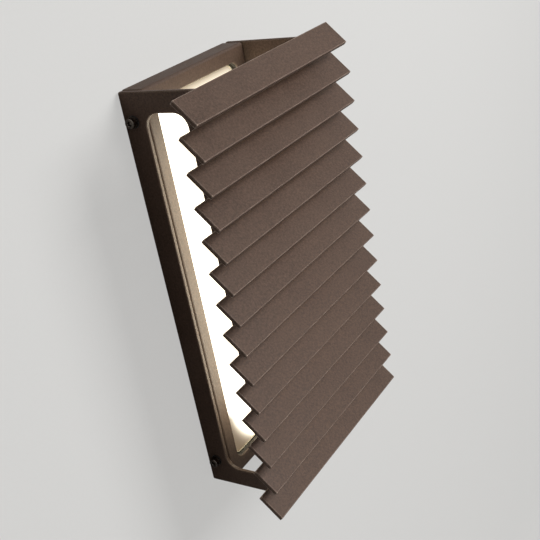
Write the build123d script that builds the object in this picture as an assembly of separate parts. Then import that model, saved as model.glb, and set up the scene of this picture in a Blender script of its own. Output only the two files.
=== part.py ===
from build123d import *
import os
from math import cos, floor, radians, sin

# Outdoor wall light: a lit tray on the wall, inside a cage of two side plates and slanted louvers.
# Millimetres. The origin is on the wall plane at the middle of the light, X runs along the louvers,
# Y into the wall and Z up. A distance "out" is measured from the wall, so y = -out.

# Overall
plate_height = 300.0
width_over_plates = 126.0
projection = 82.0
pad_thickness = 1.0

# Side plates
plate_thickness = 3.0
window_rear_strip = 17.2
window_depth = 32.5
window_end_strip = 14.2
window_corner_radius = 10.0
plate_corner_radius = 1.5
plate_edge_chamfer = 0.5

# Louvers
louver_length = 186.0
louver_width = 20.7
louver_thickness = 3.2
louver_tilt = 43.5
louver_pitch = 21.5
louver_edge_chamfer = 0.35
first_louver_drop = 12.3
last_louver_margin = 5.0
tenon_length = 8.0
tenon_height = 1.6
tenon_clearance = 0.15

# Housing tray
housing_depth = 16.4
housing_sheet = 1.5
housing_bend_radius = 2.0
side_gap = 1.2
aperture_margin = 10.8
aperture_corner_radius = 7.5
aperture_edge_chamfer = 0.4

# Diffuser, its gasket and its retainer
diffuser_thickness = 2.0
diffuser_overlap = 3.6
diffuser_corner_radius = 5.0
gasket_thickness = 3.0
gasket_setback = 0.8
retainer_thickness = 1.0
retainer_margin = 0.6
ear_length = 9.0
ear_clearance = 0.5
stud_radius = 1.5
stud_inset = 3.3
stud_tip = 0.2
studs_per_side = 3
stud_row_length = 200.0
nut_flats = 5.5
nut_thickness = 2.4
thread_clearance = 0.05

# Base plate and wall pad
base_sheet = 1.5
base_clearance = 0.5
base_bend_radius = 2.0
tab_length = 20.0
tab_end_clearance = 0.4
wall_hole_radius = 2.75
wall_hole_spacing_x = 80.0
wall_hole_spacing_z = 230.0
pad_inset = 3.0

# Side screws and what is under their heads
screw_from_rear = 8.0
screw_from_end = 19.3
screw_radius = 2.0
screw_hole_radius = 2.25
head_radius = 3.5
head_height = 3.5
socket_flats = 3.0
socket_depth = 2.0
head_edge_chamfer = 0.35
seal_radius = 4.15
seal_thickness = 0.8
washer_radius = 3.9
washer_thickness = 0.7
spacer_radius = 4.0
press_nut_radius = 4.0
press_nut_height = 2.5
pilot_radius = 2.8

# Light source board
board_width = 56.0
board_length = 240.0
board_thickness = 1.6
board_end_gap = 27.0
chip_size = 3.0
chip_height = 0.7
chip_columns = 3
chip_rows = 22
chip_column_pitch = 17.0
chip_row_pitch = 10.2
board_screw_radius = 1.45
board_screw_inset = 3.6
pan_head_radius = 2.8
pan_head_height = 1.8
drive_rise = 8.0
drive_chip_size = 6.0
drive_chip_pitch = 8.0
drive_chip_offset = -5.0
fuse_radius = 1.05
fuse_offset = 8.5
arrester_radius = 3.0
arrester_offset = -19.5

# Mains connection
wiring_rise = 18.0
grommet_bore_radius = 4.0
grommet_neck_radius = 6.5
grommet_flange_radius = 8.5
grommet_flange = 1.0
terminal_offset = 20.0
terminal_width = 21.0
terminal_depth = 12.0
terminal_height = 6.0
terminal_poles = 3
terminal_screw_radius = 1.6
lead_radius = 0.8
lead_clearance = 0.25
lead_insertion = 4.0
lead_overlap = 5.0
earth_offset = -31.0
earth_screw_radius = 1.95
earth_washer_radius = 4.5
earth_washer_thickness = 0.8

# Places that follow from the sizes above
plate_outer = width_over_plates / 2
plate_inner = plate_outer - plate_thickness
housing_width = 2 * (plate_inner - side_gap)
housing_front = pad_thickness + housing_depth
inner_width = housing_width - 2 * housing_sheet
inner_height = plate_height - 2 * housing_sheet
aperture_width = housing_width - 2 * aperture_margin
aperture_height = plate_height - 2 * aperture_margin
gasket_front = housing_front - housing_sheet
inner_bend_radius = housing_bend_radius - housing_sheet
diffuser_front = gasket_front - gasket_thickness
diffuser_back = diffuser_front - diffuser_thickness
diffuser_width = aperture_width + 2 * diffuser_overlap
diffuser_height = aperture_height + 2 * diffuser_overlap
retainer_back = diffuser_back - retainer_thickness
base_front = pad_thickness + base_sheet
base_height = inner_height - 2 * base_clearance
board_front = base_front + board_thickness
board_bottom = -inner_height / 2 + board_end_gap
board_top = board_bottom + board_length
lead_out = board_front + lead_radius
wiring_level = -inner_height / 2 + wiring_rise
screw_out = pad_thickness + screw_from_rear
screw_level = plate_height / 2 - screw_from_end
stud_x = inner_width / 2 - stud_inset
last_level_allowed = -plate_height / 2 + last_louver_margin
first_level = plate_height / 2 - first_louver_drop
louver_count = 1 + floor((first_level - last_level_allowed) / louver_pitch)
louver_levels = [first_level - index * louver_pitch for index in range(louver_count)]

# The plane of the wall, with its normal pointing out of the wall
wall = Plane.XZ


def block(width, height, near, far, radius):
    """A panel with rounded corners that lies parallel to the wall between two distances out."""
    return extrude(wall.offset(near) * RectangleRounded(width, height, radius), far - near)


def post(x, level, near, far, radius):
    """A round post that stands out from the wall."""
    return extrude(wall.offset(near) * Pos(x, level) * Circle(radius), far - near)


def hex_block(flats, height):
    """A hexagon across the given flats, rising along Z from the origin."""
    return extrude(RegularPolygon(flats / 2, 6, major_radius=False), height)


def profile_point(level, along, inward):
    """A point of a louver's cross-section: along its width from the front bottom edge, and inward."""
    tilt = radians(louver_tilt)
    y = -projection + along * sin(tilt) + inward * cos(tilt)
    z = level + along * cos(tilt) - inward * sin(tilt)
    return y, z


# Each tooth touches its louver from the louver's top edge down to this distance from its bottom edge
tooth_tip = louver_width - louver_pitch * cos(radians(louver_tilt))
tenon_middle = (tooth_tip + louver_width) / 2


def tenon_outline(level):
    """The tongue of one tooth, which locks into the mortise in the back of its louver."""
    low = tenon_middle - tenon_length / 2
    high = tenon_middle + tenon_length / 2
    front = louver_thickness - tenon_height
    root = louver_thickness + tenon_height
    corners = [(low, root), (low, front), (high, front), (high, root)]
    return make_face(Polyline([profile_point(level, *corner) for corner in corners], close=True))


def toothed_outline():
    """The plate's outline: straight at the rear, with one tooth behind each louver at the front."""
    front = []
    for level in louver_levels:
        front.append(profile_point(level, louver_width, louver_thickness))
        front.append(profile_point(level, tooth_tip, louver_thickness))
    below_last = louver_levels[-1] - louver_pitch
    front.append(profile_point(below_last, louver_width, louver_thickness))
    rear = -pad_thickness
    valley = front[0][0]
    top = [(rear, plate_height), (valley, plate_height)]
    bottom = [(valley, -plate_height), (rear, -plate_height)]
    return make_face(Polyline(top + front + bottom, close=True))


def side_plate(side):
    """One side plate of the cage; side is 1 on the right and -1 on the left."""
    reach = projection - pad_thickness
    blank = Pos(-pad_thickness - reach / 2, 0) * RectangleRounded(reach, plate_height, plate_corner_radius)
    window_out = pad_thickness + window_rear_strip + window_depth / 2
    window_height = plate_height - 2 * window_end_strip
    window = Pos(-window_out, 0) * RectangleRounded(window_depth, window_height, window_corner_radius)
    outline = (toothed_outline() & blank) - window
    for level in louver_levels:
        outline += tenon_outline(level)
    for level in (-screw_level, screw_level):
        outline -= Pos(-screw_out, level) * Circle(screw_hole_radius)
    plate = extrude(Plane.YZ * outline, plate_thickness)
    rims = [wire for face in (plate.faces().sort_by(Axis.X)[0], plate.faces().sort_by(Axis.X)[-1])
            for wire in face.inner_wires() if wire.length > window_height]
    plate = chamfer([edge for rim in rims for edge in rim.edges()], plate_edge_chamfer)
    along_y = plate.edges().filter_by(Axis.Y).group_by(Axis.Z)
    rear_edges = plate.edges().filter_by(Axis.Z).group_by(Axis.Y)[-1]
    plate = chamfer(rear_edges + along_y[0] + along_y[-1], plate_edge_chamfer)
    return Pos(plate_inner if side > 0 else -plate_outer, 0, 0) * plate


def louver(level):
    """A flat slat, tilted with its lower edge outwards, with a blind mortise behind each plate."""
    slat = Box(louver_length, louver_thickness, louver_width, align=(Align.CENTER, Align.MIN, Align.MIN))
    slat = chamfer(slat.edges(), louver_edge_chamfer)
    mortise_depth = tenon_height + tenon_clearance
    mortise = Box(plate_thickness + 2 * tenon_clearance, mortise_depth, tenon_length + 2 * tenon_clearance)
    for side in (-1, 1):
        x = side * (plate_inner + plate_thickness / 2)
        slat -= Pos(x, louver_thickness - mortise_depth / 2, tenon_middle) * mortise
    return Pos(0, -projection, level) * Rot(-louver_tilt, 0, 0) * slat


def housing():
    """The shallow tray with its rounded bends, its aperture and the four screw holes in its sides."""
    outer = block(housing_width, plate_height, pad_thickness, housing_front, housing_bend_radius)
    outer = fillet(outer.faces().sort_by(Axis.Y)[0].edges(), housing_bend_radius)
    inner = block(inner_width, inner_height, pad_thickness, gasket_front, inner_bend_radius)
    inner = fillet(inner.faces().sort_by(Axis.Y)[0].edges(), inner_bend_radius)
    tray = outer - inner
    tray -= block(aperture_width, aperture_height, gasket_front, housing_front, aperture_corner_radius)
    tray = chamfer(tray.faces().sort_by(Axis.Y)[0].inner_wires()[0].edges(), aperture_edge_chamfer)
    for level in (-screw_level, screw_level):
        tray -= Pos(0, -screw_out, level) * Rot(0, 90, 0) * Cylinder(screw_hole_radius, width_over_plates)
    return tray


def diffuser():
    """The opal panel behind the aperture."""
    return block(diffuser_width, diffuser_height, diffuser_back, diffuser_front, diffuser_corner_radius)


def diffuser_gasket():
    """The soft seal between the diffuser and the inside of the tray's front."""
    ring = block(diffuser_width, diffuser_height, diffuser_front, gasket_front, diffuser_corner_radius)
    hole_radius = aperture_corner_radius + gasket_setback
    hole_width = aperture_width + 2 * gasket_setback
    hole_height = aperture_height + 2 * gasket_setback
    return ring - block(hole_width, hole_height, diffuser_front, gasket_front, hole_radius)


def stud_places():
    """Sideways place and level of each weld stud."""
    spacing = stud_row_length / (studs_per_side - 1)
    levels = [-stud_row_length / 2 + index * spacing for index in range(studs_per_side)]
    return [(side * stud_x, level) for side in (-1, 1) for level in levels]


def diffuser_retainer():
    """The sheet frame that presses the diffuser on to its gasket, with an ear at each stud."""
    width = diffuser_width + 2 * retainer_margin
    height = diffuser_height + 2 * retainer_margin
    frame = block(width, height, retainer_back, diffuser_back, diffuser_corner_radius + retainer_margin)
    ear_reach = inner_width / 2 - ear_clearance - aperture_width / 2
    for x, level in stud_places():
        middle = (inner_width / 2 - ear_clearance - ear_reach / 2) * (1 if x > 0 else -1)
        ear = wall.offset(retainer_back) * Pos(middle, level) * Rectangle(ear_reach, ear_length)
        frame += extrude(ear, retainer_thickness)
        frame -= post(x, level, retainer_back, diffuser_back, stud_radius + thread_clearance)
    hole_width = aperture_width + 2 * gasket_setback
    hole_height = aperture_height + 2 * gasket_setback
    hole_radius = aperture_corner_radius + gasket_setback
    return frame - block(hole_width, hole_height, retainer_back, diffuser_back, hole_radius)


def retainer_studs():
    """Weld studs on the inside of the tray's front."""
    tip = retainer_back - nut_thickness - stud_tip
    return Compound(children=[post(x, level, tip, gasket_front, stud_radius) for x, level in stud_places()])


def retainer_nuts():
    """One nut on each stud, with two of its flats square to the tray's side."""
    nut = hex_block(nut_flats, nut_thickness) - Cylinder(stud_radius + thread_clearance, 3 * nut_thickness)
    seat = retainer_back - nut_thickness
    turned = Rot(90, 0, 0) * Rot(0, 0, 30) * nut
    return Compound(children=[Pos(x, -seat, level) * turned for x, level in stud_places()])


def base_tab(side, level):
    """An upright tab of the base plate, which a side screw pulls against the tray's side."""
    outer = inner_width / 2
    root = outer - base_clearance - base_bend_radius - base_sheet
    top = gasket_front - inner_bend_radius - tab_end_clearance
    corners = [(root, pad_thickness), (outer, pad_thickness), (outer, top), (outer - base_sheet, top),
               (outer - base_sheet, base_front), (root, base_front)]
    section = make_face(Polyline([(side * x, -out) for x, out in corners], close=True))
    bend = section.vertices().group_by(Axis.Y)[-1].sort_by(Axis.X)[-1 if side > 0 else 0]
    section = fillet(bend, base_bend_radius)
    tab = Pos(0, 0, level - tab_length / 2) * extrude(section, tab_length)
    hole = Pos(side * outer, -screw_out, level) * Rot(0, 90, 0) * Cylinder(pilot_radius, 3 * base_sheet)
    return tab - hole


def wall_holes():
    """Places of the four holes for the wall screws."""
    half_x = wall_hole_spacing_x / 2
    half_z = wall_hole_spacing_z / 2
    return [(x, z) for x in (-half_x, half_x) for z in (-half_z, half_z)]


def board_screw_places():
    """Places of the screws that hold the light source board."""
    x = board_width / 2 - board_screw_inset
    low = board_bottom + board_screw_inset
    high = board_top - board_screw_inset
    return [(side * x, level) for side in (-1, 1) for level in (low, (low + high) / 2, high)]


def base_plate():
    """The plate on the wall, with its tabs and the holes for the wall screws, cord and fixings."""
    width = inner_width - 2 * base_clearance
    plate = block(width, base_height, pad_thickness, base_front, base_bend_radius)
    for side in (-1, 1):
        for level in (-screw_level, screw_level):
            plate += base_tab(side, level)
    for x, level in wall_holes():
        plate -= post(x, level, pad_thickness, base_front, wall_hole_radius)
    for x, level in board_screw_places():
        plate -= post(x, level, pad_thickness, base_front, board_screw_radius + thread_clearance)
    plate -= post(0, wiring_level, pad_thickness, base_front, grommet_neck_radius)
    earth_hole = earth_screw_radius + thread_clearance
    return plate - post(earth_offset, wiring_level, pad_thickness, base_front, earth_hole)


def wall_pad():
    """The foam pad that seals the base plate to the wall."""
    width = inner_width - 2 * pad_inset
    pad = block(width, inner_height - 2 * pad_inset, 0, pad_thickness, base_bend_radius)
    for x, level in wall_holes():
        pad -= post(x, level, 0, pad_thickness, wall_hole_radius)
    return pad - post(0, wiring_level, 0, pad_thickness, grommet_flange_radius)


def cable_grommet():
    """The rubber grommet in the cable hole, with a flange on each side of the base plate."""
    inner_end = base_front + grommet_flange
    grommet = post(0, wiring_level, pad_thickness - grommet_flange, pad_thickness, grommet_flange_radius)
    grommet += post(0, wiring_level, pad_thickness, base_front, grommet_neck_radius)
    grommet += post(0, wiring_level, base_front, inner_end, grommet_flange_radius)
    return grommet - post(0, wiring_level, pad_thickness - grommet_flange, inner_end, grommet_bore_radius)


def led_board():
    """The board that carries the light sources and their drive circuit."""
    middle = (board_bottom + board_top) / 2
    board = wall.offset(base_front) * Pos(0, middle) * Rectangle(board_width, board_length)
    board = extrude(board, board_thickness)
    for x, level in board_screw_places():
        board -= post(x, level, base_front, board_front, board_screw_radius + thread_clearance)
    return board


def led_chips():
    """The rows of light sources, which stop short of the drive circuit at the board's lower end."""
    top = board_top - 2 * board_screw_inset
    chip = Box(chip_size, chip_height, chip_size)
    chips = []
    for column in range(chip_columns):
        x = (column - (chip_columns - 1) / 2) * chip_column_pitch
        for row in range(chip_rows):
            chips.append(Pos(x, -board_front - chip_height / 2, top - row * chip_row_pitch) * chip)
    return Compound(children=chips)


def drive_parts():
    """The drive circuit at the board's lower end: rectifier, regulators, fuse and surge arrester."""
    level = board_bottom + drive_rise
    chip = Box(drive_chip_size, 2 * fuse_radius, drive_chip_size)
    seat = Pos(0, -board_front - fuse_radius, level)
    places = [drive_chip_offset + step * drive_chip_pitch for step in (-1, 0, 1)]
    parts = [seat * Pos(place, 0, 0) * chip for place in places]
    fuse = seat * Pos(fuse_offset, 0, 0) * Cylinder(fuse_radius, drive_chip_size)
    arrester = seat * Pos(arrester_offset, 0, 0) * Rot(90, 0, 0) * Cylinder(arrester_radius, 2 * fuse_radius)
    return Compound(children=parts + [fuse, arrester])


def pan_screw(x, level, seat, radius):
    """A pan-head screw driven towards the wall, flush with the base plate's rear."""
    screw = post(x, level, pad_thickness, seat, radius)
    head = post(x, level, seat, seat + pan_head_height, radius * pan_head_radius / board_screw_radius)
    head = chamfer(head.faces().sort_by(Axis.Y)[0].edges(), pan_head_height / 3)
    slot = hex_block(radius, pan_head_height)
    return screw + head - Pos(x, -seat - pan_head_height / 2, level) * Rot(90, 0, 0) * slot


def board_screws():
    """The screws that hold the light source board."""
    places = board_screw_places()
    return Compound(children=[pan_screw(x, level, board_front, board_screw_radius) for x, level in places])


def terminal_places():
    """Sideways place of each pole of the terminal block."""
    pitch = terminal_width / terminal_poles
    return [terminal_offset + (pole - (terminal_poles - 1) / 2) * pitch for pole in range(terminal_poles)]


def terminal_block():
    """The moulded terminal block, with a screw well and a wire hole for each pole."""
    middle = Pos(terminal_offset, -base_front - terminal_height / 2, wiring_level)
    body = Box(terminal_width, terminal_height, terminal_depth)
    body = middle * chamfer(body.edges().filter_by(Axis.X).group_by(Axis.Y)[0], lead_radius)
    top = base_front + terminal_height
    for x in terminal_places():
        body -= post(x, wiring_level, top - terminal_height / 2, top, terminal_screw_radius + thread_clearance)
        body -= Pos(x, -lead_out, wiring_level) * Cylinder(lead_radius + lead_clearance, terminal_depth)
    return body


def terminal_screws():
    """The clamp screw in each pole."""
    top = base_front + terminal_height
    seat = top - terminal_height / 2
    face = top - lead_radius
    screws = [post(x, wiring_level, seat, face, terminal_screw_radius) for x in terminal_places()]
    return Compound(children=screws)


def board_leads():
    """The two solid wires that run straight from the terminal block on to the board's pads."""
    start = wiring_level + terminal_depth / 2 - lead_insertion
    length = board_bottom + lead_overlap - start
    lead = extrude(Circle(lead_radius), length)
    return Compound(children=[Pos(x, -lead_out, start) * lead for x in terminal_places()[:2]])


def earth_screw():
    """The earth screw, threaded into the base plate."""
    seat = base_front + earth_washer_thickness
    return pan_screw(earth_offset, wiring_level, seat, earth_screw_radius)


def earth_washer():
    """The washer that clamps the earth wire."""
    front = base_front + earth_washer_thickness
    hole_radius = earth_screw_radius + thread_clearance
    washer = post(earth_offset, wiring_level, base_front, front, earth_washer_radius)
    return washer - post(earth_offset, wiring_level, base_front, front, hole_radius)


def at_side_screws(piece):
    """Copies of a piece at the four side screws; its Z axis points out of the side plate's face."""
    places = [Pos(side * plate_outer, -screw_out, level) * Rot(0, side * 90, 0)
              for side in (-1, 1) for level in (-screw_level, screw_level)]
    return Compound(children=[place * piece for place in places])


def ring(radius, hole, low, high):
    """A flat ring round the Z axis between two heights."""
    flat = extrude(Circle(radius) - Circle(hole), high - low)
    return Pos(0, 0, low) * flat


# Heights of the screw stack, measured out from the side plate's outer face
head_seat = seal_thickness + washer_thickness
spacer_face = -plate_thickness
tab_face = -plate_thickness - side_gap - housing_sheet
nut_face = tab_face - base_sheet
nut_end = nut_face - press_nut_height


def side_screws():
    """The four socket-head screws that hold the cage and the tray on the base plate."""
    head = Pos(0, 0, head_seat) * extrude(Circle(head_radius), head_height)
    head = chamfer(head.faces().sort_by(Axis.Z)[-1].edges(), head_edge_chamfer)
    socket = Pos(0, 0, head_seat + head_height - socket_depth) * hex_block(socket_flats, socket_depth)
    shank = Pos(0, 0, nut_end) * extrude(Circle(screw_radius), head_seat - nut_end)
    return at_side_screws(head - socket + shank)


def side_nuts():
    """The nuts pressed into the base plate's tabs."""
    bore = screw_radius + thread_clearance
    nut = ring(press_nut_radius, bore, nut_end, nut_face) + ring(pilot_radius, bore, nut_face, tab_face)
    return at_side_screws(nut)


nodes = {
    "side_plate_left": side_plate(-1),
    "side_plate_right": side_plate(1),
    "housing": housing(),
    "diffuser": diffuser(),
    "diffuser_gasket": diffuser_gasket(),
    "diffuser_retainer": diffuser_retainer(),
    "retainer_studs": retainer_studs(),
    "retainer_nuts": retainer_nuts(),
    "base_plate": base_plate(),
    "wall_pad": wall_pad(),
    "cable_grommet": cable_grommet(),
    "led_board": led_board(),
    "led_chips": led_chips(),
    "drive_parts": drive_parts(),
    "board_screws": board_screws(),
    "terminal_block": terminal_block(),
    "terminal_screws": terminal_screws(),
    "board_leads": board_leads(),
    "earth_screw": earth_screw(),
    "earth_washer": earth_washer(),
    "side_screws": side_screws(),
    "seal_washers": at_side_screws(ring(seal_radius, screw_hole_radius, 0, seal_thickness)),
    "side_washers": at_side_screws(ring(washer_radius, screw_hole_radius, seal_thickness, head_seat)),
    "side_spacers": at_side_screws(ring(spacer_radius, screw_hole_radius, spacer_face - side_gap, spacer_face)),
    "side_nuts": side_nuts(),
}
for number, level in enumerate(louver_levels, start=1):
    nodes[f"louver_{number:02d}"] = louver(level)

os.makedirs("parts", exist_ok=True)
for name, shape in nodes.items():
    export_step(shape, f"parts/{name}.step")
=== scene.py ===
from math import cos, pi, sin, tau

import bpy
from mathutils import Matrix, Vector


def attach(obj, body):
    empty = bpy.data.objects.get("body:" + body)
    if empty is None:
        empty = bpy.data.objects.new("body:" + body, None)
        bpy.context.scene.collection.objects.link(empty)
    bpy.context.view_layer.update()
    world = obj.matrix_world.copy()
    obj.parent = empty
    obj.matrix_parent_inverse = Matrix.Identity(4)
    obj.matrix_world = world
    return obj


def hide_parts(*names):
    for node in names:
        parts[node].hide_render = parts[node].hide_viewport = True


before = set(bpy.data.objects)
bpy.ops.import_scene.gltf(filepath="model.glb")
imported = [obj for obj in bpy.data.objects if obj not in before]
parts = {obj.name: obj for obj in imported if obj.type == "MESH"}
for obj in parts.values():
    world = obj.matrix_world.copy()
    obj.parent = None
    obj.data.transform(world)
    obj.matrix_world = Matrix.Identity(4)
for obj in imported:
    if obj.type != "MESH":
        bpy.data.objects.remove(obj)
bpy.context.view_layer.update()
scene = bpy.context.scene
mm = 0.001


# The photo studio's paper sweep: a pale wall that the light hangs on, bending into a pale floor below.
# It is paper, cut out behind the light so that the light's rear can be seen, and clear from behind.
def add(tree, kind, inputs=(), **options):
    """Adds a shader node; inputs maps its sockets to values or to the sockets that feed them."""
    node = tree.nodes.new(kind)
    for option, value in options.items():
        setattr(node, option, value)
    for socket, value in dict(inputs).items():
        if isinstance(value, bpy.types.NodeSocket):
            tree.links.new(value, node.inputs[socket])
        else:
            node.inputs[socket].default_value = value
    return node


def new_tree(name):
    """A new material and its empty node tree."""
    material = bpy.data.materials.new(name)
    material.use_nodes = True
    material.node_tree.nodes.clear()
    return material, material.node_tree


def number(tree, operation, *values):
    """The result of one operation on numbers or on the sockets that feed it."""
    return add(tree, "ShaderNodeMath", dict(enumerate(values)), operation=operation).outputs[0]


# What the camera sees of the paper is partly a plain pale colour, so the paper looks even
paper_color = (0.56, 0.555, 0.54, 1)
fibre_color = (0.60, 0.595, 0.58, 1)
fibres_per_metre = 400
seen_color = (0.86, 0.855, 0.84, 1)
seen_share = 0.55
paper_half_width = 4.0
cut_half_width = 58.5 * mm
cut_half_height = 148.5 * mm
wall_top = 3.0
bend_top = -0.7
bend_radius = 0.3
bend_steps = 12
floor_front = -4.0

# The paper's faces lie in rows and columns, and the one behind the light is left out
columns = [-paper_half_width, -cut_half_width, cut_half_width, paper_half_width]
profile = [(0, wall_top), (0, cut_half_height), (0, -cut_half_height), (0, bend_top)]
cut_out = (1, 1)
for step in range(1, bend_steps + 1):
    turn = step / bend_steps * pi / 2
    profile.append((bend_radius * (cos(turn) - 1), bend_top - bend_radius * sin(turn)))
profile.append((floor_front, bend_top - bend_radius))
points = [(x, y, z) for y, z in profile for x in columns]
faces = []
for row in range(len(profile) - 1):
    for column in range(len(columns) - 1):
        if (row, column) != cut_out:
            first = row * len(columns) + column
            below = first + len(columns)
            faces.append((first, below, below + 1, first + 1))
sheet = bpy.data.meshes.new("paper_sweep")
sheet.from_pydata(points, [], faces)
sheet.shade_smooth()
sweep = bpy.data.objects.new("paper_sweep", sheet)
scene.collection.objects.link(sweep)

paper, tree = new_tree("pale_paper")
place = add(tree, "ShaderNodeTexCoord")
fibre = add(tree, "ShaderNodeTexNoise",
            {"Vector": place.outputs["Object"], "Scale": fibres_per_metre, "Detail": 3})
tone = add(tree, "ShaderNodeMix", {0: fibre.outputs["Fac"], 6: paper_color, 7: fibre_color}, data_type="RGBA")
matt = add(tree, "ShaderNodeBsdfDiffuse", {"Color": tone.outputs[2]})
clear = add(tree, "ShaderNodeBsdfTransparent")
facing = add(tree, "ShaderNodeNewGeometry")
pale = add(tree, "ShaderNodeEmission", {"Color": seen_color, "Strength": 1.0})
sight = add(tree, "ShaderNodeLightPath")
share = add(tree, "ShaderNodeMapRange", {0: sight.outputs["Is Camera Ray"], 4: seen_share})
front = add(tree, "ShaderNodeMixShader", {0: share.outputs[0], 1: matt.outputs[0], 2: pale.outputs[0]})
one_sided = add(tree, "ShaderNodeMixShader",
                {0: facing.outputs["Backfacing"], 1: front.outputs[0], 2: clear.outputs[0]})
add(tree, "ShaderNodeOutputMaterial", {"Surface": one_sided.outputs[0]})
sheet.materials.append(paper)


# The studio: one large soft box in front on the right, one more behind for the rear, and a pale room.
# The camera stands to the left of the light and above it, turned as in the photo.
def soft_box(name, place, target, size, power):
    """A square soft light that points at the target and isn't seen itself."""
    lamp = bpy.data.lights.new(name, "AREA")
    lamp.size = size
    lamp.energy = power
    box = bpy.data.objects.new(name, lamp)
    box.location = place
    box.rotation_mode = "QUATERNION"
    box.rotation_quaternion = (Vector(target) - Vector(place)).to_track_quat("-Z", "Y")
    box.visible_camera = False
    scene.collection.objects.link(box)
    return box


soft_box("key_box", place=(0.5, -1.2, 0.75), target=(0, 0, 0), size=0.8, power=19)
soft_box("rear_box", place=(-0.4, 1.6, 0.5), target=(0, 0, 0), size=1.0, power=14)

# The slats throw the panel's light back into the cage. A weak box just behind them stands for it, and lights
# only the tray, the side plates and the gasket
thrown_aside = -9 * mm
thrown_out = 44 * mm
thrown_level = 8 * mm
thrown_width = 90 * mm
thrown_height = 222 * mm
thrown_back = soft_box("slat_light", place=(thrown_aside, -thrown_out, thrown_level),
                       target=(thrown_aside, 0, thrown_level), size=thrown_width, power=0.43)
thrown_back.data.shape = "RECTANGLE"
thrown_back.data.size_y = thrown_height
thrown_back.data.color = (0.94, 1.0, 0.86)
tray_and_sides = bpy.data.collections.new("tray_and_sides")
for node in ("housing", "side_plate_left", "side_plate_right"):
    tray_and_sides.objects.link(parts[node])
thrown_back.light_linking.receiver_collection = tray_and_sides

# The room looks brighter, to the camera and in shiny surfaces, than the light that it gives
lit_brightness = 0.14
seen_brightness = 0.72
room = bpy.data.worlds.new("pale_room")
room.use_nodes = True
tree = room.node_tree
tree.nodes.clear()
rays = add(tree, "ShaderNodeLightPath")
shiny = number(tree, "MAXIMUM", rays.outputs["Is Glossy Ray"], rays.outputs["Is Transmission Ray"])
seen = number(tree, "MAXIMUM", rays.outputs["Is Camera Ray"], shiny)
brightness = add(tree, "ShaderNodeMapRange", {0: seen, 3: lit_brightness, 4: seen_brightness})
air = add(tree, "ShaderNodeBackground", {"Color": (1, 0.995, 0.985, 1), "Strength": brightness.outputs[0]})
add(tree, "ShaderNodeOutputWorld", {"Surface": air.outputs[0]})
scene.world = room

camera = bpy.data.objects.new("camera", bpy.data.cameras.new("camera"))
camera.data.lens = 61.793
camera.data.sensor_width = 36
camera.data.clip_start = 0.01
camera.data.clip_end = 20
camera_place = Vector((-0.49205, -0.39955, 0.26943))
camera_look = Vector((0.74099637, 0.53409062, -0.40702774))
camera_up = Vector((0.43674098, 0.07711376, 0.89627607))
camera_axes = Matrix((camera_look.cross(camera_up), camera_up, -camera_look)).transposed()
camera.matrix_world = Matrix.Translation(camera_place) @ camera_axes.to_4x4()
scene.collection.objects.link(camera)
scene.camera = camera
scene.view_settings.view_transform = "Standard"


# The cage and the tray: two windowed side plates, fourteen slats and the folded tray, all aluminium.
# They are sprayed with dark bronze powder and baked, which leaves a fine sandy skin; edges are lighter,
# partly thin coat and partly painted highlight.
def open_group(name, inputs, outputs):
    """A new shader group with number sockets; returns its tree and its input and output nodes."""
    group = bpy.data.node_groups.new(name, "ShaderNodeTree")
    for label, value in inputs.items():
        group.interface.new_socket(label, in_out="INPUT", socket_type="NodeSocketFloat").default_value = value
    for label in outputs:
        group.interface.new_socket(label, in_out="OUTPUT", socket_type="NodeSocketFloat")
    return group, add(group, "NodeGroupInput"), add(group, "NodeGroupOutput")


def in_mm(group):
    """The place on the piece in millimetres."""
    place = add(group, "ShaderNodeTexCoord")
    scaled = add(group, "ShaderNodeVectorMath", {0: place.outputs["Object"], "Scale": 1 / mm},
                 operation="SCALE")
    return scaled.outputs[0]


# Most of the noise lies between these two values
noise_low = 0.3
noise_high = 0.7


def noise_of_size(group, size, detail):
    """Noise whose blotches are as wide as the size that feeds it, stretched to run from 0 to 1."""
    per_mm = number(group, "DIVIDE", 1.0, size)
    noise = add(group, "ShaderNodeTexNoise", {"Vector": in_mm(group), "Scale": per_mm, "Detail": detail})
    spread = add(group, "ShaderNodeMapRange", {0: noise.outputs["Fac"], 1: noise_low, 2: noise_high})
    return spread.outputs[0]


coarse_flecks = 0.65
fine_flecks = 0.35
coarse_height = 0.6
grain, enter, leave = open_group("fine_grain", {"Coarse Size": 1.3, "Fine Size": 0.45}, ("Flecks", "Height"))
coarse = noise_of_size(grain, enter.outputs["Coarse Size"], 2)
fine = noise_of_size(grain, enter.outputs["Fine Size"], 1)
flecks = number(grain, "MULTIPLY_ADD", coarse, coarse_flecks, number(grain, "MULTIPLY", fine, fine_flecks))
grain.links.new(flecks, leave.inputs["Flecks"])
grain.links.new(number(grain, "MULTIPLY_ADD", coarse, coarse_height, fine), leave.inputs["Height"])

# Seen from inside the metal a flat face is open, which gives 1, and a sharp edge is about half open
edge_begins = 0.92
edge_full = 0.55
line_begins = 0.78
line_full = 0.62
least_patch = 0.4
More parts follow.
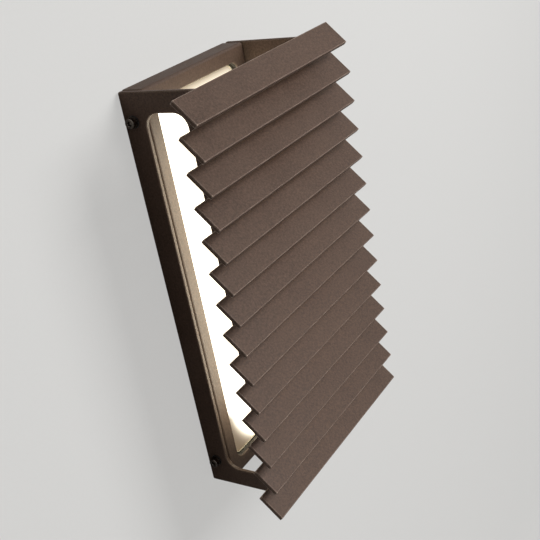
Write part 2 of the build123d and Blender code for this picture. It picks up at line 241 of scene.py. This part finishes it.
# Edge marks the area near convex edges and Line the edges themselves; on bronze their lighter colour is
# partly thin coat, partly painted highlight
wear_and_highlight_masks, enter, leave = open_group("edge_wear_and_highlight", {"Reach": 1.0, "Patch Size": 9.0}, ("Edge", "Line"))
reach = number(wear_and_highlight_masks, "MULTIPLY", enter.outputs["Reach"], mm)
inside = add(wear_and_highlight_masks, "ShaderNodeAmbientOcclusion", {"Distance": reach}, samples=8, inside=True, only_local=True)
near_edge = add(wear_and_highlight_masks, "ShaderNodeMapRange", {0: inside.outputs["AO"], 1: edge_begins, 2: edge_full})
patches = noise_of_size(wear_and_highlight_masks, enter.outputs["Patch Size"], 3)
patchy = add(wear_and_highlight_masks, "ShaderNodeMapRange", {0: patches, 3: least_patch, 4: 1.0})
wear_and_highlight_masks.links.new(number(wear_and_highlight_masks, "MULTIPLY", near_edge.outputs[0], patchy.outputs[0]), leave.inputs["Edge"])
on_edge = add(wear_and_highlight_masks, "ShaderNodeMapRange", {0: inside.outputs["AO"], 1: line_begins, 2: line_full})
wear_and_highlight_masks.links.new(number(wear_and_highlight_masks, "MULTIPLY", on_edge.outputs[0], patchy.outputs[0]), leave.inputs["Line"])

clouds, enter, leave = open_group("slow_clouds", {"Cloud Size": 30.0}, ("Cloud",))
clouds.links.new(noise_of_size(clouds, enter.outputs["Cloud Size"], 2), leave.inputs["Cloud"])


def place_group(tree, group, values):
    """Places a shader group in a material with the material's own values."""
    node = add(tree, "ShaderNodeGroup", node_tree=group)
    for label, value in values.items():
        node.inputs[label].default_value = value
    return node


def mixed(tree, share, first, second):
    """The mix of two colours by a share that changes over the surface."""
    return add(tree, "ShaderNodeMix", {0: share, 6: first, 7: second}, data_type="RGBA").outputs[2]


def ranged(tree, value, low, high):
    """A value from 0 to 1, moved into another range."""
    return add(tree, "ShaderNodeMapRange", {0: value, 3: low, 4: high}).outputs[0]


def coat(name, color, fleck_color, edge_color, line_color, roughness, bump_depth, coarse_size, fine_size,
         metallic=0.0, specular=0.5):
    """A baked coat: flecked colour, cloudy gloss, a fine skin, and edges lightened by thin coat and painted
    highlight.
    """
    cloud_share = 0.12
    edge_share = 0.5
    material, tree = new_tree(name)
    skin = place_group(tree, grain, {"Coarse Size": coarse_size, "Fine Size": fine_size})
    worn_and_lit = place_group(tree, wear_and_highlight_masks, {"Reach": 1.2})
    cloud = place_group(tree, clouds, {"Cloud Size": 35.0})
    flecked = mixed(tree, skin.outputs["Flecks"], color, fleck_color)
    cloudy = mixed(tree, ranged(tree, cloud.outputs["Cloud"], 0.0, cloud_share), flecked, edge_color)
    # Lighter near the edges, partly thin coat and partly painted highlight, with a painted highlight line on
    # the edges
    worn_and_lit_edges = mixed(tree, ranged(tree, worn_and_lit.outputs["Edge"], 0.0, edge_share), cloudy, edge_color)
    edged = mixed(tree, worn_and_lit.outputs["Line"], worn_and_lit_edges, line_color)
    gloss = ranged(tree, cloud.outputs["Cloud"], roughness - 0.04, roughness + 0.05)
    soft_edge = add(tree, "ShaderNodeBevel", {"Radius": 0.4 * mm}, samples=4)
    bump = add(tree, "ShaderNodeBump", {"Height": skin.outputs["Height"], "Strength": 0.6,
                                        "Distance": bump_depth, "Normal": soft_edge.outputs[0]})
    shader = add(tree, "ShaderNodeBsdfPrincipled", {"Base Color": edged, "Metallic": metallic,
                                                    "Roughness": gloss, "Specular IOR Level": specular,
                                                    "Normal": bump.outputs[0]})
    add(tree, "ShaderNodeOutputMaterial", {"Surface": shader.outputs[0]})
    return material


def dress(node, material):
    """Gives a CAD piece its finish."""
    parts[node].data.materials.clear()
    parts[node].data.materials.append(material)


# Both bronze coats hold a little metal flake in a dull binder
bronze_metallic = 0.1
bronze_specular = 0.22
# The light edge colour is partly thin coat and partly painted highlight; the light line colour is a painted
# highlight
bronze = coat("bronze_powder", color=(0.049, 0.029, 0.020, 1), fleck_color=(0.124, 0.074, 0.051, 1),
              edge_color=(0.22, 0.155, 0.12, 1), line_color=(0.54, 0.42, 0.34, 1), roughness=0.50,
              bump_depth=0.08 * mm, coarse_size=1.5, fine_size=0.6, metallic=bronze_metallic,
              specular=bronze_specular)
for node in parts:
    if node.startswith(("side_plate", "louver")):
        dress(node, bronze)

# The tray is of thinner sheet and its coat is smoother; its edges are lightened less, and its light line
# along bends and edges is a painted highlight
tray_bronze = coat("bronze_tray", color=(0.062, 0.038, 0.027, 1), fleck_color=(0.110, 0.067, 0.047, 1),
                   edge_color=(0.105, 0.070, 0.052, 1), line_color=(0.19, 0.14, 0.105, 1), roughness=0.50,
                   bump_depth=0.06 * mm, coarse_size=1.3, fine_size=0.5, metallic=bronze_metallic,
                   specular=bronze_specular)
dress("housing", tray_bronze)


# The base plate on the wall and the frame that clamps the panel: sheet metal with a white coat.
# The white inside throws the light forward; it is smooth, with only a faint orange peel.
white = coat("white_coat", color=(0.80, 0.80, 0.78, 1), fleck_color=(0.84, 0.84, 0.82, 1),
             edge_color=(0.74, 0.73, 0.70, 1), line_color=(0.62, 0.61, 0.58, 1), roughness=0.35,
             bump_depth=0.01 * mm, coarse_size=2.2, fine_size=0.8)
for node in ("base_plate", "diffuser_retainer"):
    dress(node, white)


# The lit panel: a 2 mm sheet of opal acrylic behind the tray's opening, satin on its face.
# The white box behind it is lit evenly up to its rounded inner edge, and the panel fades beyond that.
# The lit area's sizes are in millimetres; towards the bottom it gets narrower and its corners rounder.
glow_half_width = 50.0
narrow_half_width = 44.2
narrow_from = -96.0
narrow_to = -110.0
glow_half_height = 141.8
glow_drop = 6.3
upper_corner_radius = 10.0
lower_corner_radius = 49.3
fade_length = 2.4
glow_at_edge = 0.094
light_color = (1.0, 0.89, 0.70, 1)
faint_color = (0.050, 0.0356, 0.0216, 1)
light_strength = 3.0


def beyond(tree, place, half, radius):
    """How far a place lies beyond the straight part of the lit area's edge, one way."""
    past_half = number(tree, "SUBTRACT", number(tree, "ABSOLUTE", place), half)
    return number(tree, "ADD", past_half, radius)


def squared_past(tree, distance):
    """The square of a distance, or 0 where the distance is less than 0."""
    return number(tree, "POWER", number(tree, "MAXIMUM", distance, 0.0), 2.0)


opal, tree = new_tree("opal_acrylic")
axis = add(tree, "ShaderNodeSeparateXYZ", {0: in_mm(tree)})
half_width = add(tree, "ShaderNodeMapRange",
                 {0: axis.outputs["Z"], 1: narrow_from, 2: narrow_to,
                  3: glow_half_width, 4: narrow_half_width}, interpolation_type="SMOOTHSTEP")
from_middle = number(tree, "ADD", axis.outputs["Z"], glow_drop)
is_low = number(tree, "LESS_THAN", from_middle, 0.0)
corner_radius = number(tree, "MULTIPLY_ADD", is_low, lower_corner_radius - upper_corner_radius,
                       upper_corner_radius)
past_side = beyond(tree, axis.outputs["X"], half_width.outputs[0], corner_radius)
past_end = beyond(tree, from_middle, glow_half_height, corner_radius)
round_corner = number(tree, "SQRT", number(tree, "ADD", squared_past(tree, past_side),
                                           squared_past(tree, past_end)))
straight = number(tree, "MINIMUM", number(tree, "MAXIMUM", past_side, past_end), 0.0)
past_edge = number(tree, "SUBTRACT", number(tree, "ADD", round_corner, straight), corner_radius)
decay = number(tree, "EXPONENT", number(tree, "DIVIDE", past_edge, -fade_length))
lit = number(tree, "MINIMUM", number(tree, "MULTIPLY", decay, glow_at_edge), 1.0)
cloud = place_group(tree, clouds, {"Cloud Size": 18.0})
uneven = number(tree, "MULTIPLY", lit, ranged(tree, cloud.outputs["Cloud"], 0.94, 1.0))
glow = mixed(tree, uneven, faint_color, light_color)
skin = place_group(tree, grain, {"Coarse Size": 0.9, "Fine Size": 0.3})
bump = add(tree, "ShaderNodeBump", {"Height": skin.outputs["Height"], "Strength": 0.3, "Distance": 0.01 * mm})
milky = mixed(tree, skin.outputs["Flecks"], (0.56, 0.50, 0.39, 1), (0.60, 0.54, 0.43, 1))
shader = add(tree, "ShaderNodeBsdfPrincipled",
             {"Base Color": milky, "Roughness": ranged(tree, cloud.outputs["Cloud"], 0.38, 0.44),
              "Normal": bump.outputs[0], "Emission Color": glow, "Emission Strength": light_strength})
add(tree, "ShaderNodeOutputMaterial", {"Surface": shader.outputs[0]})
dress("diffuser", opal)


# The seals: a moulded gasket round the panel, a foam pad on the wall, a moulded grommet for the cord,
# and a rubber ring under each side screw. All are black, apart from the gasket's lip and its bead.
def moulding(name, color, light, roughness, bump_depth, coarse_size, fine_size):
    """A moulded or cut soft surface: mottled colour, uneven gloss and a fine skin."""
    edge_share = 0.4
    material, tree = new_tree(name)
    skin = place_group(tree, grain, {"Coarse Size": coarse_size, "Fine Size": fine_size})
    cloud = place_group(tree, clouds, {"Cloud Size": 12.0})
    worn_and_lit = place_group(tree, wear_and_highlight_masks, {"Reach": 0.4})
    mottled = mixed(tree, skin.outputs["Flecks"], color, light)
    edged = mixed(tree, ranged(tree, worn_and_lit.outputs["Edge"], 0.0, edge_share), mottled, light)
    gloss = ranged(tree, cloud.outputs["Cloud"], roughness - 0.05, roughness + 0.05)
    bump = add(tree, "ShaderNodeBump", {"Height": skin.outputs["Height"], "Strength": 0.7,
                                        "Distance": bump_depth})
    shader = add(tree, "ShaderNodeBsdfPrincipled", {"Base Color": edged, "Roughness": gloss,
                                                    "Normal": bump.outputs[0]})
    add(tree, "ShaderNodeOutputMaterial", {"Surface": shader.outputs[0]})
    return material


foam = moulding("black_foam", color=(0.028, 0.026, 0.023, 1), light=(0.062, 0.058, 0.052, 1),
                roughness=0.85, bump_depth=0.2 * mm, coarse_size=1.1, fine_size=0.4)
rubber = moulding("black_rubber", color=(0.017, 0.017, 0.018, 1), light=(0.032, 0.032, 0.033, 1),
                  roughness=0.55, bump_depth=0.02 * mm, coarse_size=0.8, fine_size=0.25)
dress("wall_pad", foam)
for node in ("cable_grommet", "seal_washers"):
    dress(node, rubber)

# The gasket's ring fills the depth behind the tray's opening; its brown lip leans over the panel's rim and
# ends in a pale bead. Each line of its section is given by how far it stands inside the opening, sideways and
# in height, how far out from the wall it is, and its corner radius, all in millimetres
opening_half_width = 48.0
opening_half_height = 139.2
gasket_section = [(-3.6, -3.6, 12.91, 5.0), (-3.6, -3.6, 15.9, 5.0), (-0.15, -0.15, 15.9, 7.65),
                  (0.0, 0.0, 15.7, 7.5), (0.0, 0.0, 14.1, 7.5), (0.15, 0.1, 14.0, 7.5), (0.3, 0.2, 13.8, 7.5),
                  (0.3, 0.2, 13.6, 7.5), (0.1, 0.1, 13.5, 7.6), (-0.5, -0.5, 13.45, 8.0),
                  (-0.5, -0.5, 13.25, 8.0), (0.3, 0.15, 13.3, 7.5), (1.3, 0.7, 13.2, 7.0),
                  (2.0, 1.0, 13.15, 6.8), (2.15, 1.1, 13.55, 6.7), (2.4, 1.25, 13.6, 6.6),
                  (2.6, 1.4, 13.4, 6.5), (2.7, 1.5, 12.91, 6.5)]
first_brown_line = 3
first_bead_line = 15
corner_steps = 10
sharp_angle = pi / 5


def rounded_outline(half_width, half_height, radius):
    """The points of a rounded rectangle, as many in each corner, from the upper right one round."""
    outline = []
    for quarter, (x_side, z_side) in enumerate(((1, 1), (-1, 1), (-1, -1), (1, -1))):
        for step in range(corner_steps + 1):
            angle = (quarter + step / corner_steps) * pi / 2
            outline.append((x_side * (half_width - radius) + radius * cos(angle),
                            z_side * (half_height - radius) + radius * sin(angle)))
    return outline


def swept(name, rings, material, closed):
    """A mesh of rings of points, each joined to the next, and the last to the first if closed."""
    count = len(rings[0])
    faces = []
    for ring in range(len(rings) if closed else len(rings) - 1):
        first = ring * count
        second = (ring + 1) % len(rings) * count
        for step in range(count):
            after = (step + 1) % count
            faces.append((first + step, first + after, second + after, second + step))
    mesh = bpy.data.meshes.new(name)
    mesh.from_pydata([point for ring in rings for point in ring], [], faces)
    mesh.materials.append(material)
    mesh.shade_smooth()
    mesh.set_sharp_from_angle(angle=sharp_angle)
    piece = bpy.data.objects.new(name, mesh)
    scene.collection.objects.link(piece)
    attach(piece, "root")
    return piece


# The lip's dark brown stands for the tray's rim and the shade there, partly the rim's own colour and partly
# painted shade; the bead's pale tan is a painted highlight
lip_painted_shade = moulding("lip_painted_shade", color=(0.036, 0.026, 0.017, 1), light=(0.056, 0.041, 0.028, 1),
                      roughness=0.70, bump_depth=0.03 * mm, coarse_size=0.9, fine_size=0.3)
bead_painted_highlight = moulding("bead_painted_highlight", color=(0.34, 0.27, 0.18, 1), light=(0.42, 0.34, 0.24, 1),
                       roughness=0.50, bump_depth=0.02 * mm, coarse_size=0.9, fine_size=0.3)
rings = [[(x * mm, -out * mm, z * mm) for x, z in
          rounded_outline(opening_half_width - aside, opening_half_height - above, radius)]
         for aside, above, out, radius in gasket_section]
gasket = swept("panel_gasket", rings, rubber, closed=True)
gasket.data.materials.append(lip_painted_shade)
gasket.data.materials.append(bead_painted_highlight)
for face in gasket.data.polygons:
    line = face.index // len(rings[0])
    face.material_index = (line >= first_brown_line) + (line >= first_bead_line)
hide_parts("diffuser_gasket")
tray_and_sides.objects.link(gasket)


# The fasteners: zinc-plated studs, nuts and small screws, darkened stainless side screws and washers,
# a brass earth screw with its washer, and nylon spacers between the side plates and the tray.
def machined(name, color, light, roughness, stretch):
    """Turned or stamped metal: fine marks along one way, cloudy gloss and brighter edges."""
    edge_share = 0.6
    material, tree = new_tree(name)
    place = add(tree, "ShaderNodeTexCoord")
    drawn = add(tree, "ShaderNodeMapping", {"Vector": place.outputs["Object"], "Scale": stretch})
    marks = add(tree, "ShaderNodeTexNoise", {"Vector": drawn.outputs[0], "Scale": 1 / mm, "Detail": 3})
    cloud = place_group(tree, clouds, {"Cloud Size": 4.0})
    worn_and_lit = place_group(tree, wear_and_highlight_masks, {"Reach": 0.35, "Patch Size": 3.0})
    marked = mixed(tree, marks.outputs["Fac"], color, light)
    edged = mixed(tree, ranged(tree, worn_and_lit.outputs["Edge"], 0.0, edge_share), marked, light)
    rubbed = number(tree, "MULTIPLY", marks.outputs["Fac"], cloud.outputs["Cloud"])
    gloss = ranged(tree, rubbed, roughness - 0.08, roughness + 0.14)
    bump = add(tree, "ShaderNodeBump", {"Height": marks.outputs["Fac"], "Strength": 0.3,
                                        "Distance": 0.02 * mm})
    shader = add(tree, "ShaderNodeBsdfPrincipled", {"Base Color": edged, "Metallic": 1.0, "Roughness": gloss,
                                                    "Normal": bump.outputs[0]})
    add(tree, "ShaderNodeOutputMaterial", {"Surface": shader.outputs[0]})
    return material


# Marks run along the axis whose stretch is small
along_wall_axis = (6, 0.6, 6)
along_side_axis = (0.6, 6, 6)
zinc = machined("zinc_plate", color=(0.50, 0.50, 0.50, 1), light=(0.66, 0.66, 0.65, 1),
                roughness=0.30, stretch=along_wall_axis)
dark_steel = machined("dark_stainless", color=(0.065, 0.055, 0.048, 1), light=(0.21, 0.18, 0.155, 1),
                      roughness=0.26, stretch=along_side_axis)
brass = machined("bare_brass", color=(0.66, 0.50, 0.23, 1), light=(0.80, 0.65, 0.36, 1),
                 roughness=0.30, stretch=along_wall_axis)
nylon = moulding("black_nylon", color=(0.030, 0.030, 0.031, 1), light=(0.048, 0.048, 0.050, 1),
                 roughness=0.45, bump_depth=0.01 * mm, coarse_size=0.8, fine_size=0.25)
for node in ("retainer_studs", "retainer_nuts", "board_screws", "terminal_screws", "side_nuts"):
    dress(node, zinc)
for node in ("earth_screw", "earth_washer"):
    dress(node, brass)
dress("side_spacers", nylon)
dress("side_washers", dark_steel)

# The four side screws: knurled socket heads with a thread below, each given by rings of points that run
# from the bottom of the hexagon socket over the head to the thread's end. A ring is given by how far out it
# is from the side plate's face, its radius and its shape, in millimetres
plate_face = 63.0
screw_out = 9.0
screw_level = 130.7
head_seat = 1.5
head_height = 3.5
head_top = head_seat + head_height
head_radius = 3.5
knurl_depth = 0.13
socket_half = 1.5
socket_floor = head_top - 2.0
drill_mark = 0.6
thread_radius = 2.0
thread_root = 1.62
thread_pitch = 0.7
thread_end = -9.3
plain_shank = 0.3
near_axis = 0.05
turn_steps = 72
screw_rings = [(socket_floor - drill_mark, near_axis, "round"), (socket_floor, socket_half - 0.1, "round"),
               (socket_floor, socket_half, "hexagon"), (head_top - 0.25, socket_half, "hexagon"),
               (head_top, socket_half + 0.28, "round"), (head_top, head_radius - 0.55, "round"),
               (head_top - 0.12, head_radius - 0.22, "round"), (head_top - 0.42, head_radius - 0.02, "round"),
               (head_top - 0.55, head_radius, "knurled"), (head_seat + 0.35, head_radius, "knurled"),
               (head_seat + 0.22, head_radius - 0.05, "round"), (head_seat, head_radius - 0.25, "round"),
               (head_seat, thread_radius, "round")]
crest = head_seat - plain_shank
while crest > thread_end:
    screw_rings += [(crest, thread_radius, "round"), (crest - thread_pitch / 2, thread_root, "round")]
    crest -= thread_pitch
screw_rings.append((thread_end, near_axis, "round"))


def screw_reach(radius, shape, step):
    """How far a ring's point is from the screw's axis."""
    if shape == "hexagon":
        from_flat = (step / turn_steps * tau + pi / 6) % (pi / 3) - pi / 6
        return radius / cos(from_flat)
    if shape == "knurled" and step % 2:
        return radius - knurl_depth
    return radius


for side, side_name in ((-1, "left"), (1, "right")):
    for level, level_name in ((-screw_level, "lower"), (screw_level, "upper")):
        rings = []
        for along, radius, shape in screw_rings:
            ring = []
            for step in range(turn_steps):
                angle = side * step / turn_steps * tau
                reach = screw_reach(radius, shape, step)
                ring.append((side * (plate_face + along) * mm, (-screw_out + reach * cos(angle)) * mm,
                             (level + reach * sin(angle)) * mm))
            rings.append(ring)
        screw = swept(f"side_screw_{side_name}_{level_name}", rings, dark_steel, closed=False)
        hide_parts("side_screws")


# The light source board and what is on it: white solder mask on aluminium, sixty-six small light sources,
# and the drive circuit's moulded packages, with two insulated wires to a grey terminal block.
board_mask = moulding("white_mask", color=(0.74, 0.74, 0.72, 1), light=(0.80, 0.80, 0.78, 1),
                      roughness=0.40, bump_depth=0.01 * mm, coarse_size=2.0, fine_size=0.5)
phosphor = moulding("phosphor_resin", color=(0.78, 0.56, 0.12, 1), light=(0.86, 0.66, 0.20, 1),
                    roughness=0.35, bump_depth=0.02 * mm, coarse_size=0.5, fine_size=0.2)
package = moulding("black_package", color=(0.022, 0.022, 0.024, 1), light=(0.040, 0.040, 0.042, 1),
                   roughness=0.50, bump_depth=0.02 * mm, coarse_size=0.6, fine_size=0.2)
terminal = moulding("grey_moulding", color=(0.30, 0.30, 0.31, 1), light=(0.37, 0.37, 0.38, 1),
                    roughness=0.45, bump_depth=0.02 * mm, coarse_size=1.0, fine_size=0.3)
insulation = moulding("wire_insulation", color=(0.28, 0.10, 0.04, 1), light=(0.34, 0.14, 0.07, 1),
                      roughness=0.40, bump_depth=0.01 * mm, coarse_size=1.0, fine_size=0.3)
dress("led_board", board_mask)
dress("led_chips", phosphor)
dress("drive_parts", package)
dress("terminal_block", terminal)
dress("board_leads", insulation)
